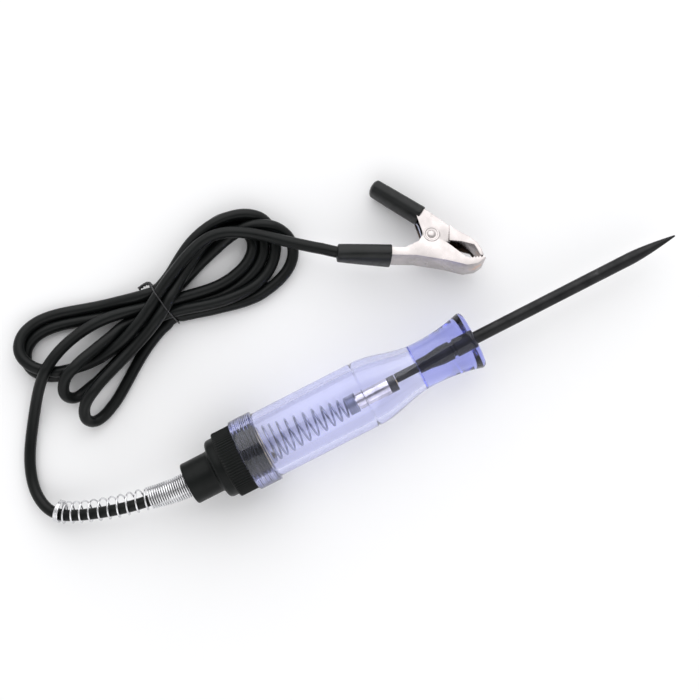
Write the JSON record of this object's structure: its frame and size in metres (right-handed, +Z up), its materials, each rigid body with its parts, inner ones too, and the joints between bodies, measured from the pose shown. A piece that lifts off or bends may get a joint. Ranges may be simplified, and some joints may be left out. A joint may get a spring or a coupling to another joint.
{
  "type": "circuit test light",
  "caption": "Pen-shaped circuit test light: pointed steel probe in a clear screw-together handle with a lamp, and an earth lead in a tied hank that ends in a spring clip.",
  "frame": {"origin": "centre of the handle and probe's length, on the bench below the handle's axis", "axes": "+X along the handle's axis towards the probe's point, +Z up from the bench"},
  "size_m": [0.185, 0.0724, 0.0199],
  "materials": {
    "barrel_plastic": "clear violet-blue tint, gloss",
    "probe_steel": "blackened, satin",
    "cap_plastic": "moulded, semi-matt",
    "plated_brass": "plated",
    "spring_wire": "bright plated wire",
    "lamp_nickel": "nickel plated",
    "lamp_glass": "clear",
    "filament_wire": "drawn wire",
    "insulator_black": "moulded, gloss",
    "cord_pvc": "black pvc, satin",
    "copper_strand": "bare copper strands",
    "tie_black": "thin black band",
    "clip_steel": "nickel-plated sheet steel",
    "sleeve_vinyl": "soft black vinyl"
  },
  "bodies": {
    "root": {"rear_cap": "cap_plastic", "cap_terminal": "plated_brass", "contact_spring": "spring_wire", "strain_relief": "spring_wire", "cord_lead": "cord_pvc", "cord_conductor_cap": "copper_strand", "cord_hank": "cord_pvc", "cord_tie": "tie_black", "cord_tail": "cord_pvc", "cord_conductor_clip": "copper_strand", "clip_boot": "sleeve_vinyl", "clip_lower_jaw": "clip_steel", "clip_rivet": "clip_steel", "clip_spring": "spring_wire"},
    "lamp": {"lamp_shell": "lamp_nickel", "lamp_glass": "lamp_glass", "lamp_filament": "filament_wire", "lamp_insulator": "insulator_black", "lamp_contact": "plated_brass"},
    "barrel": {"barrel": "barrel_plastic", "probe": "probe_steel"},
    "clip_jaw": {"clip_upper_jaw": "clip_steel", "clip_grip": "sleeve_vinyl"}
  },
  "joints": [
    {"name": "lamp_slide", "type": "slide", "parent": "root", "child": "lamp", "axis": [1, 0, 0], "range_m": [0, 0.0055], "deforming": ["contact_spring"]},
    {"name": "barrel_turn", "type": "hinge", "parent": "lamp", "child": "barrel", "pos_m": [0, 0, 0.00995], "axis": [1, 0, 0], "range_deg": [0, 1980]},
    {"name": "clip_hinge", "type": "hinge", "parent": "root", "child": "clip_jaw", "pos_m": [0.0142, 0.0289, 0.007], "axis": [0.2419, 0.2552, 0.9361], "range_deg": [0, 30], "stiffness_Nm_per_rad": 0.05, "springref_deg": -28.65, "deforming": ["clip_spring"]}
  ],
  "couplings": [
    {"joint": "barrel_turn", "follows": "lamp_slide", "rad_per_m": 6283.2}
  ]
}
